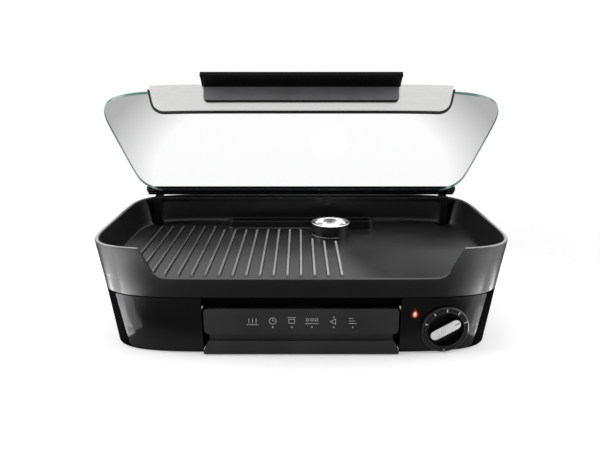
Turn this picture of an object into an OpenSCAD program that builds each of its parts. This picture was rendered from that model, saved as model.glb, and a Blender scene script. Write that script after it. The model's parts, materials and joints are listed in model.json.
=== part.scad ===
/* [Plan] */
// Width over the rim of the grill plate
rim_w = 540; // [480:1:600]
// Depth over the rim of the grill plate
rim_d = 312; // [290:1:340]
// Squareness of the plan outline
corner_n = 6; // [5:0.5:8]
// Points round each lofted outline
outline_pts = 96; // [72:8:120]

/* [Heights] */
// Gap between the table and the base
base_z = 1.5; // [1:0.1:3]
// Seam between the base and the grill plate
seam_z = 78; // [74:1:90]
// Skirt of the plate below its floor
skirt_h = 15; // [12:1:20]
// Thickness of the cast plate
plate_t = 5; // [4:0.5:7]
// Height of the wall above the cooking surface
wall_h = 45; // [40:1:60]

/* [Flare] */
// How far the seam lies inside the rim at each side
seam_in_x = 9; // [4:0.5:12]
// How far the seam lies inside the rim, front and back
seam_in_y = 7; // [3:0.5:10]
// How far the foot of the base lies inside the rim at each side
base_in_x = 19; // [12:0.5:24]
// How far the foot of the base lies inside the rim, front and back
base_in_y = 12; // [8:0.5:15]

/* [Grill plate] */
// Thickness of the cast wall
rim_t = 4.5; // [3.5:0.5:6]
// Radius of the edge of the rim
rim_r = 1.2; // [0.8:0.1:1.6]
// Radius between wall and floor
fillet_r = 8; // [5:0.5:10]
// Half width of the front cut-out at its foot
cut_half = 180; // [150:1:185]
// Extra half width of the cut-out at the rim
cut_flare = 19; // [12:1:24]
// Depth of the front cut-out
cut_depth = 39.8; // [34:0.1:40]
// Corner radius at the foot of the cut-out
cut_r = 20; // [15:1:26]
// Distance between ribs
rib_pitch = 17.4; // [15:0.1:19]
// Width of a rib at its foot
rib_w = 5.4; // [4:0.1:7]
// Height of a rib
rib_h = 3; // [2:0.1:4]
// Number of ribs
rib_count = 17; // [14:1:17]
// Place of the last rib, right of the middle
rib_last_x = 52; // [40:1:55]
// Near ends of the ribs, in front of the middle
rib_near = 131; // [120:1:132]
// Length of the drain slot
drain_l = 40; // [25:1:50]
// Width of the drain slot
drain_w = 6; // [4:0.5:7]
// Depth of the spout under the plate
spout_h = 38; // [34:1:42]

/* [Infuser] */
// Length of the trough
trough_l = 237; // [180:1:260]
// Width of the trough
trough_w = 24; // [20:1:28]
// Height of the trough
trough_h = 14; // [10:1:18]
// Wall of the trough
trough_wall = 2.5; // [2:0.5:4]
// Front face of the trough, inside the rear rim
trough_in = 65.5; // [62:0.5:72]
// Outer radius of the cup
cup_r = 30; // [24:1:34]
// Height of the cup
cup_h = 21; // [17:1:24]
// Place of the cup, right of the middle
cup_x = 46; // [30:1:70]
// Depth of the cup's bowl
bowl_depth = 13; // [9:1:15]

/* [Lid] */
// Opening angle of the lid as it stands
lid_open = 37.6; // [0:0.1:55]
// Angle by which the closed lid lies below the flat pose in which it is drawn
lid_dip = 1.7; // [1.2:0.1:1.8]
// Opening angle at which the lid stops
lid_stop = 95; // [80:1:100]
// Thickness of the glass
glass_t = 4; // [3:0.5:5]
// Side edge of the glass inside the rim
glass_in_x = 10; // [6:0.5:14]
// Front edge of the glass inside the rim
glass_in_y = 10; // [8:0.5:14]
// Squareness of the glass
glass_n = 6.7; // [6:0.1:9]
// Thickness of the steel fascia
fascia_t = 1.2; // [0.8:0.1:2]
// Extra half width of the fascia at its top
fascia_flare = 11; // [8:1:16]
// Depth of the fascia's flange over the glass
flange_l = 22; // [20:1:28]
// Width of the gasket
gasket_w = 2.4; // [2:0.1:3]
// Gap between the gasket and the cut-out
gasket_gap = 1; // [0.8:0.1:2]
// Length of the handle
handle_l = 240; // [160:1:260]
// Reach of the handle in front of the fascia
handle_reach = 25; // [18:1:30]
// Thickness of the handle's ledge
ledge_t = 6.5; // [5:0.5:8]
// Height of the handle's flange
handle_h = 24; // [18:1:28]
// Ends of the hinge bar, inside the rim
bar_in = 15; // [12:1:20]
// Radius of the hinge bar
bar_r = 5.5; // [5.2:0.1:6.5]
// Reach of the bar's jaw over the glass
jaw_l = 18; // [15:1:22]
// Radius of the hinge pins
pin_r = 2; // [1.5:0.1:2.5]
// Length of a hinge pin
pin_l = 30; // [26:1:32]
// Place of the hinge posts, inside the rim at each side
post_in_x = 34; // [32:1:42]
// Width of a hinge post
post_w = 12.8; // [12:0.1:16]
// Depth of a hinge post
post_d = 12; // [10:0.5:14]
// Front face of the posts, inside the rear rim
post_in = 39; // [37:0.5:42]
// Radius of a post's peg
peg_r = 3; // [2.5:0.1:3.5]

/* [Base] */
// Thickness of the moulded walls
wall = 3; // [2.5:0.1:3.5]
// Thickness of the gloss front panels
panel_t = 1.5; // [1.2:0.1:2]
// Outer edge of the front panels at the seam, inside the rim
panel_in = 33; // [30:1:45]
// Thickness of the bottom cover
cover_t = 2.5; // [2:0.1:3]
// Radius of a foot
foot_r = 11; // [8:0.5:14]
// Place of the feet, inside the rim at each side
foot_in_x = 70; // [65:1:90]
// Place of the feet, inside the rim, front and back
foot_in_y = 56; // [50:1:70]
// Radius of the cord's bore through its gland
cord_r = 3.6; // [3:0.1:4.5]
// Place of the cord gland, inside the right rim
gland_in_x = 120; // [90:1:150]
// Height of the cord gland
gland_z = 30; // [24:1:40]

/* [Drip tray] */
// Sides of the tray's front, inside the rim
tray_in_x = 146; // [144:1:155]
// Sides of the tray's pan, inside those of its front
pan_in = 12; // [11:0.5:20]
// Length of the tray's pan
pan_l = 180; // [140:1:200]
// Height of the tray's pan
pan_h = 19; // [15:1:20]
// Wall of the tray
pan_t = 2; // [1.5:0.5:2.5]
// Lower edge of the tray's upper face
face_low = 28; // [26:0.5:34]
// Upper edge of the tray's upper face
face_high = 62; // [58:1:66]
// Height of the tray's lower lip
lip_h = 16.7; // [15:0.1:20]
// Reach of the lower lip in front of the upper face
lip_reach = 4; // [3:0.5:6]

/* [Heating] */
// Radius of the heating tube
tube_r = 3.5; // [3:0.1:4]
// Place of the tube's two legs, inside the rim at the side
element_in = 55; // [52:1:70]
// Place of the outer runs, inside the rim, front and back
run_in = 66; // [62:1:76]

/* [Control knob] */
// Place of the knob, inside the right rim
knob_in_x = 87.5; // [84:0.5:92]
// Height of the knob's axis
knob_z = 33.3; // [33:0.1:38]
// Turn of the knob's axis towards the side
knob_turn = 7; // [0:0.5:8]
// Outer radius of the dial
dial_r = 31.3; // [29:0.1:32]
// Radius of the knob
knob_r = 23.4; // [20:0.1:24]
// Angle of the knob from the top, clockwise
knob_angle = 62; // [0:1:72]
// Length of the knob's grip
grip_l = 43; // [36:1:45]
// Width of the knob's grip
grip_w = 14.5; // [9:0.5:16]
// Radius of the shaft
shaft_r = 3; // [2.5:0.1:4]
// Place of the indicator, inside the right rim
lamp_in_x = 127; // [125:0.5:132]
// Height of the indicator
lamp_z = 54; // [50:0.5:56]

/* [Fits] */
// Gap where one piece rests on another that lifts off
seat_gap = 0.3; // [0.2:0.1:0.5]
// Gap beside a piece that slides or lifts
slide_gap = 0.5; // [0.3:0.1:0.8]
// Gap round a fixed insert
trim_gap = 0.2; // [0.1:0.05:0.4]
// Radial gap of a turning or sliding fit
run_gap = 0.05; // [0.02:0.01:0.1]

/* [Hidden] */
$fn = 48;

eps = 0.01;
far = 400;

plate_z = seam_z + skirt_h + plate_t;
under_z = plate_z - plate_t;
rim_z = plate_z + wall_h;
cut_z = rim_z - cut_depth;
cut_top_r = 6;
trough_y = rim_d / 2 - trough_in;
post_y = rim_d / 2 - post_in;
foot_x = rim_w / 2 - foot_in_x;
post_x = rim_w / 2 - post_in_x;
knob_x = rim_w / 2 - knob_in_x;
lamp_x = rim_w / 2 - lamp_in_x;
gland_x = rim_w / 2 - gland_in_x;
panel_edge = rim_w / 2 - panel_in;
tray_half = rim_w / 2 - tray_in_x;
pan_half = tray_half - pan_in;
bar_l = rim_w - 2 * bar_in;
foot_y = rim_d / 2 - foot_in_y;

base_top = seam_z - seat_gap;
spigot_z = seam_z + 10;
spigot_in = rim_t + 1;
spigot_t = 2.5;
neck_z = seam_z - 14;

cover_z = base_z + 0.5;
cover_top = cover_z + cover_t;

bar_gap = 1.4;
hinge_y = rim_d / 2 - 11.5;
hinge_z = rim_z + bar_gap + bar_r;
jaw_lip = 1.5;
glass_z = rim_z + bar_gap + jaw_lip;
glass_top = glass_z + glass_t;
lid_up = (hinge_y + rim_d / 2) * sin(lid_dip);
bar_top_lip = 2;

rib_sink = 1;
floor_in = rim_t + fillet_r;

tube_z = under_z - seat_gap - tube_r;
shield_z = seam_z - 18;
shield_t = 0.8;
shield_in = 30;

black = [0.06, 0.06, 0.065];
coating = [0.15, 0.15, 0.16];
gloss = [0.02, 0.02, 0.025];
steel = [0.76, 0.76, 0.75];
bright = [0.9, 0.9, 0.9];
rubber = [0.09, 0.09, 0.09];

// Inset of the outer surface from the rim, at one height
function inset_x(z) =
  z >= seam_z ? seam_in_x * (rim_z - z) / (rim_z - seam_z)
  : seam_in_x + (base_in_x - seam_in_x) * (seam_z - z) / (seam_z - base_z);
function inset_y(z) =
  z >= seam_z ? seam_in_y * (rim_z - z) / (rim_z - seam_z)
  : seam_in_y + (base_in_y - seam_in_y) * (seam_z - z) / (seam_z - base_z);

// Half width and half depth of the outer surface, at one height
function half_w(z) = rim_w / 2 - inset_x(z);
function half_d(z) = rim_d / 2 - inset_y(z);

function bent(v, n) = sign(v) * pow(abs(v), 2 / n);

// Squared oval, as 2D points
function oval(a, b, n = corner_n, pts = outline_pts) =
  [for (i = [0:pts - 1]) let(t = 360 * (i + 0.5) / pts) [a * bent(cos(t), n), b * bent(sin(t), n)]];

// Outline a distance e inside the outer surface, lying at z, with the flare of the height at
function ring(z, e, at, pts = outline_pts) =
  [for (p = oval(half_w(at) - e, half_d(at) - e, corner_n, pts)) [p.x, p.y, z]];

// How far the outline reaches in Y, at one place in X
function reach_y(x, e, at) =
  (half_d(at) - e) * pow(max(0, 1 - pow(abs(x) / (half_w(at) - e), corner_n)), 1 / corner_n);

// Corner b of a path a, b, c, rounded with radius r
function corner(a, b, c, r, n) =
  r <= 0 ? [b] :
  let(
    u = (a - b) / norm(a - b),
    v = (c - b) / norm(c - b),
    half = acos(u * v) / 2,
    middle = b + (u + v) / norm(u + v) * r / sin(half),
    p = b + u * r / tan(half) - middle,
    q = b + v * r / tan(half) - middle,
    start = atan2(p.y, p.x),
    sweep = (atan2(q.y, q.x) - start + 540) % 360 - 180
  )
  [for (i = [0:n]) middle + r * [cos(start + sweep * i / n), sin(start + sweep * i / n)]];

// Closed path whose corners have the given radii
function rounded(path, radii, n = 6) =
  let(m = len(path))
  [for (i = [0:m - 1]) each corner(path[(i + m - 1) % m], path[i], path[(i + 1) % m], radii[i], n)];

// Solid skinned over a stack of outlines, closed by the first and the last
module loft(rings) {
  n = len(rings[0]);
  m = len(rings);
  sides = [for (j = [0:m - 2], i = [0:n - 1]) each
    [[j * n + i, (j + 1) * n + i, (j + 1) * n + (i + 1) % n],
     [j * n + i, (j + 1) * n + (i + 1) % n, j * n + (i + 1) % n]]];
  low = [for (i = [0:n - 1]) i];
  high = [for (i = [n - 1:-1:0]) (m - 1) * n + i];
  polyhedron(points = [for (r = rings) each r], faces = concat([low, high], sides));
}

// Closed band skinned over outlines, the last joined to the first
module band(rings) {
  n = len(rings[0]);
  m = len(rings);
  sides = [for (j = [0:m - 1], i = [0:n - 1])
    let(a = j * n, b = ((j + 1) % m) * n, k = (i + 1) % n) each
    [[a + i, b + i, b + k], [a + i, b + k, a + k]]];
  polyhedron(points = [for (r = rings) each r], faces = sides);
}

// Layer of the outer surface between two depths and two heights
module layer(e0, e1, z0, z1) {
  band([ring(z0, e0, z0), ring(z1, e0, z1), ring(z1, e1, z1), ring(z0, e1, z0)]);
}

// Everything inside the outer surface, grown by e
module inside(e, z0, z1) {
  loft([ring(z0, -e, z0), ring(z1, -e, z1)]);
}

// Path drawn in XZ and carried through the front half of the grill
module through_front(path) {
  rotate([90, 0, 0]) linear_extrude(far) polygon(path);
}

// Profile drawn in YZ and carried along X, centred
module along_x(path, length) {
  rotate([90, 0, 90]) linear_extrude(length, center = true) polygon(path);
}

// Slab with round ends, lying along X
module slot(length, width, height) {
  translate([-(length - width) / 2, -width / 2, 0]) cube([length - width, width, height]);
  for (s = [-1, 1]) translate([s * (length - width) / 2, 0, 0]) cylinder(r = width / 2, h = height);
}

// Slab with round corners
module slab(w, d, r, h) {
  translate([-w / 2 + r, -d / 2, 0]) cube([w - 2 * r, d, h]);
  translate([-w / 2, -d / 2 + r, 0]) cube([w, d - 2 * r, h]);
  for (x = [-1, 1], y = [-1, 1]) translate([x * (w / 2 - r), y * (d / 2 - r), 0]) cylinder(r = r, h = h);
}

// Front cut-out of the plate, a distance e inside its edge
function cut_path(e, top) =
  let(
    lean = atan2(cut_depth, cut_flare),
    foot = cut_half - e * tan(lean / 2),
    slope = cut_flare / cut_depth,
    high = foot + (rim_z - cut_z - e) * slope
  )
  rounded(
    [[-foot, cut_z + e], [foot, cut_z + e], [high, rim_z], [high + cut_top_r, rim_z], [high + cut_top_r, top],
     [-high - cut_top_r, top], [-high - cut_top_r, rim_z], [-high, rim_z]],
    [cut_r - e, cut_r - e, cut_top_r / 2, 0, 0, 0, 0, cut_top_r / 2]
  );

// Outline of the fascia in its drawn pose, a distance e inside the cut-out's foot
function fascia_path(e, top) =
  let(
    slope = fascia_flare / cut_depth,
    low = cut_z + lid_up + e,
    foot = cut_half - e * tan(atan(1 / slope) / 2),
    high = foot + (top - low) * slope
  )
  rounded([[-foot, low], [foot, low], [high, top], [-high, top]], [cut_r - e, cut_r - e, 0, 0]);

// The lid's pieces are drawn flat and turned to the angle at which the lid stands
module lid_pose() {
  translate([0, hinge_y, hinge_z]) rotate([-lid_open, 0, 0]) translate([0, -hinge_y, -hinge_z]) children();
}

// Frame of the knob: Z points out of the panel and Y points up
lean = atan((base_in_y - seam_in_y) / (seam_z - base_z));
knob_y = -reach_y(knob_x, 0, knob_z);
module knob_frame() {
  translate([knob_x, knob_y, knob_z]) rotate([90 + lean, 0, knob_turn]) children();
}

// Frame of the indicator: Z points out of the panel and Y points up
lamp_y = -reach_y(lamp_x, 0, lamp_z);
module lamp_frame() {
  translate([lamp_x, lamp_y, lamp_z]) rotate([90 + lean, 0, 0]) children();
}

// Frame of the cord gland: Z points out of the back
gland_y = reach_y(gland_x, 0, gland_z);
module gland_frame() {
  translate([gland_x, gland_y, gland_z]) rotate([-90, 0, 0]) children();
}

// Square neck of the gland, half of a side s, so that it can't turn in its hole
module square_neck(s, h) {
  linear_extrude(h) offset(r = 1.5, $fn = 24) square(2 * s - 3, center = true);
}

dial_up = 4;
dial_floor = -12;
dial_floor_t = 2;
neck_r = dial_r - 5;
nut_t = 2.4;
bush_r = 5;
knob_base = -9.2;
knob_top = -5.5;
knob_hollow = 2;
grip_top = 4;
shaft_top = 1;
inlay_t = 1.2;
inlay_in = 1.2;

lens_r = 4.6;
stem_r = lens_r - 0.4;
lamp_r = 2.9;

gland_flange = 9;
gland_neck = 6;

panel_low = base_z + 1.5;
panel_high = seam_z - 1.2;
pad_t = panel_t;

// Outline in XZ of a front panel, side is -1 or 1, grown by g
function panel_path(side, g) =
  let(
    inner = tray_half + 1.5 - g,
    lean = (base_in_x - seam_in_x) / (seam_z - base_z),
    low = panel_edge - lean * (seam_z - panel_low) * 1.4 + g,
    high = panel_edge + g
  )
  rounded(
    [[side * inner, panel_low - g], [side * low, panel_low - g], [side * high, panel_high + g],
     [side * inner, panel_high + g]],
    [0.8, 7, 2, 0.8]
  );
peg_x = [tray_half + 26, rim_w / 2 - 48];
peg_z = [14, 66];
clip_r = 2;

boss_r = 5;
boss_h = 17;
boss_in = wall + boss_r - 0.6;
boss_places = [
  for (s = [-1, 1]) each [
    [s * (half_w(base_z) - boss_in), -45],
    [s * (half_w(base_z) - boss_in), 60],
    [s * 95, half_d(base_z) - boss_in]
  ]
];
screw_r = 1.6;
head_r = 3.4;

module housing() {
  color(black) difference() {
    union() {
      band([
        ring(base_z, 0, base_z), ring(seam_z - 1, 0, seam_z - 1), ring(base_top, 0.6, seam_z),
        ring(base_top, spigot_in, seam_z), ring(spigot_z, spigot_in, seam_z),
        ring(spigot_z, spigot_in + spigot_t, seam_z), ring(neck_z + 6, spigot_in + spigot_t, seam_z),
        ring(neck_z, wall, neck_z), ring(base_z, wall, base_z)
      ]);
      for (side = [-1, 1]) intersection() {
        layer(wall - 1, wall + pad_t, base_z + 4, neck_z - 1);
        through_front(panel_path(side, 4));
      }
      difference() {
        translate([0, 0, neck_z]) linear_extrude(2.5) polygon(oval(half_w(neck_z) - wall + 0.5, half_d(neck_z) - wall + 0.5));
        translate([0, 0, neck_z - 1]) linear_extrude(5) polygon(oval(half_w(neck_z) - 13, half_d(neck_z) - 13));
      }
      for (p = boss_places) translate([p.x, p.y, cover_top]) cylinder(r = boss_r, h = boss_h);
    }
    for (side = [-1, 1]) intersection() {
      layer(-1, panel_t + trim_gap, panel_low - 2, panel_high + 1);
      through_front(panel_path(side, trim_gap));
    }
    intersection() {
      layer(-2, spigot_in - eps, base_z - 1, base_top + 1);
      translate([-tray_half - 1.5, -far, base_z - 2]) cube([2 * tray_half + 3, far, seam_z]);
    }
    translate([-tray_half - 1.5, -far, base_z - 1]) cube([2 * tray_half + 3, far, neck_z - base_z + 1]);
    translate([0, drain_y, neck_z - 1]) slot(drain_l + 2 * spout_t + 2, drain_w + 2 * spout_t + 2, 6);
    for (p = boss_places) translate([p.x, p.y, cover_top - 1]) cylinder(r = screw_r, h = boss_h - 2);
    knob_frame() translate([0, 0, -20]) cylinder(r = neck_r + trim_gap, h = 30);
    lamp_frame() translate([0, 0, -20]) cylinder(r = stem_r + trim_gap, h = 30);
    gland_frame() translate([0, 0, -20]) square_neck(gland_neck + trim_gap, 30);
    for (side = [-1, 1], x = peg_x, z = peg_z)
      translate([side * x, 0, z]) rotate([90, 0, 0]) cylinder(r = clip_r + trim_gap, h = far);
  }
}

module panel(side) {
  intersection() {
    layer(0, panel_t, panel_low - 1, panel_high + 1);
    through_front(panel_path(side, 0));
  }
  for (x = peg_x, z = peg_z)
    translate([side * x, -reach_y(x, panel_t - 0.5, z), z]) rotate([-90, 0, 0]) cylinder(r = clip_r, h = 6);
}

module left_panel() {
  color(gloss) panel(-1);
}

module right_panel() {
  color(gloss) difference() {
    panel(1);
    knob_frame() translate([0, 0, -20]) cylinder(r = neck_r + trim_gap, h = 30);
    lamp_frame() translate([0, 0, -20]) linear_extrude(30) drop(trim_gap);
  }
}

// Teardrop outline of the indicator, grown by g
module drop(g) {
  hull() {
    circle(r = lens_r + g, $fn = 32);
    translate([0, 1.75 * lens_r]) circle(r = 0.6 + g, $fn = 16);
  }
}

module indicator_lens() {
  color([0.8, 0.1, 0.05]) lamp_frame() difference() {
    union() {
      translate([0, 0, -panel_t]) linear_extrude(panel_t + 0.3) drop(0);
      translate([0, 0, -16]) cylinder(r = stem_r, h = 16 - panel_t + 0.5);
    }
    translate([0, 0, -20]) cylinder(r = lamp_r + 0.1, h = 20 - panel_t - 0.6);
  }
}

module indicator_lamp() {
  color([1, 0.5, 0.3]) lamp_frame() {
    translate([0, 0, -18]) cylinder(r = lamp_r, h = 18 - lamp_r - panel_t - 0.8);
    translate([0, 0, -lamp_r - panel_t - 0.8]) sphere(r = lamp_r);
    for (s = [-1, 1]) translate([s * 1.2, 0, -26]) cylinder(r = 0.4, h = 9);
  }
}

module knob_dial() {
  color(black) difference() {
    knob_frame() rotate_extrude() polygon([
      [0, dial_floor], [neck_r, dial_floor], [neck_r, -1.5], [dial_r, -10], [dial_r, dial_up - 1.4],
      [dial_r - 1.4, dial_up], [knob_r + 1.6, dial_up], [0, dial_up]
    ]);
    difference() {
      inside(trim_gap / 2, base_z - 5, seam_z);
      knob_frame() translate([0, 0, -30]) cylinder(r = neck_r, h = 60);
    }
    knob_frame() {
      translate([0, 0, dial_floor + dial_floor_t]) cylinder(r = knob_r + 0.6, h = 30);
      translate([0, 0, dial_floor - 1]) cylinder(r = bush_r + 0.1, h = 10);
    }
  }
}

module thermostat() {
  color([0.55, 0.5, 0.4]) knob_frame() difference() {
    union() {
      translate([-16, -15, dial_floor - 18]) cube([32, 30, 14]);
      translate([-12, -17, dial_floor - 4]) cube([24, 34, 4]);
      translate([0, 0, dial_floor - eps]) cylinder(r = bush_r, h = dial_floor_t + nut_t);
      for (s = [-1, 1]) translate([s * 9 - 3, -4, dial_floor - 26]) cube([6, 1, 9]);
    }
    translate([0, 0, dial_floor - 9]) cylinder(r = shaft_r + run_gap, h = 30);
  }
}

module thermostat_nut() {
  color(steel) knob_frame() translate([0, 0, dial_floor + dial_floor_t]) difference() {
    cylinder(r = 8, h = nut_t, $fn = 6);
    translate([0, 0, -1]) cylinder(r = bush_r + 0.02, h = 10);
  }
}

module knob_shaft() {
  color(steel) knob_frame() translate([0, 0, dial_floor - 8]) cylinder(r = shaft_r, h = shaft_top - dial_floor + 8);
}

module knob() {
  color(black) knob_frame() rotate([0, 0, -knob_angle]) difference() {
    union() {
      rotate_extrude() polygon([
        [0, knob_base], [knob_r, knob_base], [knob_r, knob_top - 1], [knob_r - 1, knob_top], [0, knob_top]
      ]);
      translate([0, 0, knob_top - 1]) rotate([0, 0, 90]) slot(grip_l, grip_w, grip_top - knob_top + 1);
    }
    translate([0, 0, knob_base - 1]) cylinder(r = shaft_r + 0.02, h = shaft_top + 0.1 - knob_base + 1);
    translate([0, 0, knob_base - 1]) cylinder(r = knob_r - 2, h = knob_hollow + 1);
    translate([0, 0, grip_top - inlay_t]) rotate([0, 0, 90]) slot(grip_l - inlay_in, grip_w - inlay_in, 5);
  }
}

module knob_inlay() {
  color(steel) knob_frame() rotate([0, 0, -knob_angle]) difference() {
    translate([0, 0, grip_top - inlay_t]) rotate([0, 0, 90]) slot(grip_l - inlay_in - 0.2, grip_w - inlay_in - 0.2, inlay_t + 0.5);
    translate([-0.5, grip_l / 2 - 9, grip_top]) cube([1, 7, 2]);
  }
}

module bottom_cover() {
  edge = wall + 0.4;
  color(black) difference() {
    translate([0, 0, cover_z]) linear_extrude(cover_t) difference() {
      polygon(oval(half_w(cover_z) - edge, half_d(cover_z) - edge));
      translate([-tray_half - 2, -far]) square([2 * tray_half + 4, far - half_d(base_z) + 14]);
      for (s = [-1, 1], i = [0:8]) translate([s * (150 + 8 * i) - 2, -30]) square([4, 60]);
      for (i = [0:12]) translate([(i - 6) * 12 - 2, 75]) square([4, 40]);
    }
    for (p = boss_places) translate([p.x, p.y, cover_z]) {
      translate([0, 0, -1]) cylinder(r = screw_r + 0.3, h = cover_t + 2);
      translate([0, 0, -eps]) cylinder(r1 = head_r + 0.1, r2 = screw_r + 0.3, h = head_r - screw_r);
    }
    for (x = [-1, 1], y = [-1, 1]) translate([x * foot_x, y * foot_y, cover_z - 1]) cylinder(r = 4.1, h = 10);
  }
}

module cover_screws() {
  color(steel) for (p = boss_places) translate([p.x, p.y, cover_z]) {
    cylinder(r1 = head_r, r2 = screw_r, h = head_r - screw_r);
    cylinder(r = screw_r - 0.02, h = cover_t + 11);
  }
}

module feet() {
  color(rubber) for (x = [-1, 1], y = [-1, 1]) translate([x * foot_x, y * foot_y, 0]) {
    cylinder(r1 = foot_r - 0.8, r2 = foot_r, h = cover_z);
    cylinder(r = 4, h = cover_top);
    translate([0, 0, cover_top]) cylinder(r1 = 5.2, r2 = 3, h = 4);
  }
}

module cord_gland() {
  color(rubber) difference() {
    union() {
      difference() {
        gland_frame() translate([0, 0, -3]) cylinder(r = gland_flange, h = 6);
        inside(0.05, base_z - 5, seam_z);
      }
      gland_frame() translate([0, 0, -wall - 2]) square_neck(gland_neck, wall + 4);
      gland_frame() translate([0, 0, -wall - 5]) cylinder(r = gland_flange - 1, h = 3.5);
    }
    gland_frame() translate([0, 0, -20]) cylinder(r = cord_r, h = 40);
  }
}

module terminal_block() {
  w = 42;
  color([0.85, 0.83, 0.78]) translate([gland_x, gland_y - 38, cover_top]) difference() {
    union() {
      translate([-w / 2, -9, 0]) cube([w, 18, 4]);
      for (i = [-1:1]) translate([i * 13 - 5, -7, 3]) cube([10, 14, 11]);
    }
    for (i = [-1:1]) translate([i * 13, 0, 0]) {
      translate([0, 0, 6]) cylinder(r = 2, h = 10);
      translate([0, -20, 8]) rotate([-90, 0, 0]) cylinder(r = 1.6, h = 40);
    }
    for (s = [-1, 1]) translate([s * 6.5, 0, -1]) cylinder(r = 1.2, h = 8);
  }
}

rail_t = 2.5;
pan_z = cover_top + 2.5;
pan_top = pan_z + pan_h;
tray_face = half_d(seam_z / 2) + 1;
tray_back = tray_face - 5;
pan_front = tray_back - 2;
pan_back = pan_l - pan_front;
pan_flange = 4.5;

module tray_rails() {
  ledge_top = pan_top - 2 - seat_gap;
  inner = pan_half + slide_gap;
  outer = pan_half + pan_flange + slide_gap;
  color(steel) for (s = [-1, 1]) mirror([s < 0 ? 1 : 0, 0, 0])
    translate([0, pan_back + 6, 0]) rotate([90, 0, 0]) linear_extrude(pan_l - 2) polygon([
      [outer, cover_top], [outer + 12, cover_top], [outer + 12, cover_top + rail_t],
      [outer + rail_t, cover_top + rail_t], [outer + rail_t, pan_top + 4], [outer, pan_top + 4],
      [outer, ledge_top], [inner, ledge_top], [inner, ledge_top - rail_t], [outer, ledge_top - rail_t]
    ]);
}

module tray_pan() {
  color(black) translate([0, pan_back - pan_l / 2, 0]) difference() {
    union() {
      translate([0, 0, pan_z]) slab(2 * pan_half, pan_l, 6, pan_h);
      translate([0, 0, pan_top - 2]) slab(2 * (pan_half + pan_flange), pan_l, 3, 2);
    }
    translate([0, 0, pan_z + pan_t]) slab(2 * (pan_half - pan_t), pan_l - 2 * pan_t, 5, pan_h);
  }
}

module tray_front() {
  low = base_z - 0.5;
  high = low + lip_h;
  tip = tray_face + lip_reach;
  color(black) {
    translate([0, -tray_back, 0]) rotate([90, 0, 0]) linear_extrude(tray_face - tray_back) polygon(rounded(
      [[-tray_half + 1, face_low], [tray_half - 1, face_low], [tray_half - 1, face_high], [-tray_half + 1, face_high]],
      [6, 6, 4.5, 4.5]
    ));
    translate([-tray_half + 7, -tray_back - 0.5, low + 2])
      cube([2 * tray_half - 14, tray_back + 0.5 - pan_front, face_high - low - 6]);
    intersection() {
      along_x([
        [-pan_front, low], [-tip + 2, low], [-tip, low + 2], [-tip, low + 5], [-tray_face + 1, high],
        [-tray_back, high], [-tray_back, low + 6], [-tip + 6, low + 3], [-pan_front, low + 3]
      ], far);
      through_front([[-tray_half, 0], [tray_half, 0], [tray_half, low + 5], [tray_half - 6.5, high + 1],
        [6.5 - tray_half, high + 1], [-tray_half, low + 5]]);
    }
    for (s = [-1, 0, 1]) translate([s * (tray_half - 9) - 1, 0, 0])
      rotate([90, 0, 90]) linear_extrude(2)
        polygon([[-pan_front, low], [-tip + 3, low + 1], [-tip + 2, low + 5], [-tray_face + 3, high - 2], [-pan_front, high - 2]]);
  }
}

module reflector() {
  at = neck_z;
  pts = 48;
  top = neck_z + 2.5 + seat_gap;
  front = -drain_y - drain_w / 2 - spout_t - 3;
  color(steel) difference() {
    loft([
      ring(shield_z, shield_in, at, pts), ring(top, shield_in - 6, at, pts), ring(top, 9, at, pts),
      ring(top + shield_t, 9, at, pts), ring(top + shield_t, shield_in - 6 + shield_t, at, pts),
      ring(shield_z + shield_t, shield_in + shield_t, at, pts)
    ]);
    translate([-far, -far - front, shield_z - 1]) cube([2 * far, far, 20]);
    for (s = [-1, 1]) translate([pin_place, s * 1.5 * run_pitch, shield_z - 1]) cylinder(r = tube_r + 1.5, h = 5);
  }
}

spout_t = 2;
drain_y = -(half_d(plate_z) - floor_in - drain_w / 2 - 0.4);
run_pitch = (rim_d - 2 * run_in) / 3;
pin_place = rim_w / 2 - element_in;
run_half = pin_place - run_pitch / 2 - 10;
bend_r = 10;
leg_l = 27;

module heating_element() {
  rows = [-1.5, -0.5, 0.5, 1.5];
  color([0.35, 0.33, 0.32]) translate([0, 0, tube_z]) {
    for (i = [0:3]) {
      first = i == 0 || i == 3;
      translate([-run_half, rows[i] * run_pitch, 0]) rotate([0, 90, 0])
        cylinder(r = tube_r, h = first ? run_half + pin_place - bend_r : 2 * run_half);
    }
    for (s = [-1, 1]) translate([-run_half, s * run_pitch, 0]) rotate([0, 0, 90])
      rotate_extrude(angle = 180) translate([run_pitch / 2, 0]) circle(r = tube_r);
    translate([run_half, 0, 0]) rotate([0, 0, -90])
      rotate_extrude(angle = 180) translate([run_pitch / 2, 0]) circle(r = tube_r);
    for (s = [-1, 1]) translate([pin_place - bend_r, s * 1.5 * run_pitch, -bend_r]) {
      rotate([90, 0, 0]) rotate_extrude(angle = 90) translate([bend_r, 0]) circle(r = tube_r);
      translate([bend_r, 0, -leg_l]) cylinder(r = tube_r, h = leg_l);
    }
  }
}

module element_pins() {
  color(steel) for (s = [-1, 1])
    translate([pin_place, s * 1.5 * run_pitch, tube_z - bend_r - leg_l - 12]) {
      cylinder(r = 1.8, h = 12);
      translate([-3, -0.5, -8]) cube([6, 1, 9]);
    }
}

module element_supports() {
  foot = shield_z + shield_t;
  color(steel) for (x = [-1, 1], y = [-1.5, -0.5, 1.5])
    translate([x * (run_half - 65), y * run_pitch, 0]) {
      translate([-6, -8, foot]) cube([12, 16, 1]);
      translate([-6, -0.6, foot]) cube([12, 1.2, tube_z - tube_r - foot]);
      translate([-6, 0, tube_z]) rotate([0, 90, 0]) difference() {
        cylinder(r = tube_r + 1.2, h = 12);
        translate([0, 0, -1]) cylinder(r = tube_r + 0.02, h = 14);
        translate([-20, -10, -1]) cube([20, 20, 14]);
      }
    }
}

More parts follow.
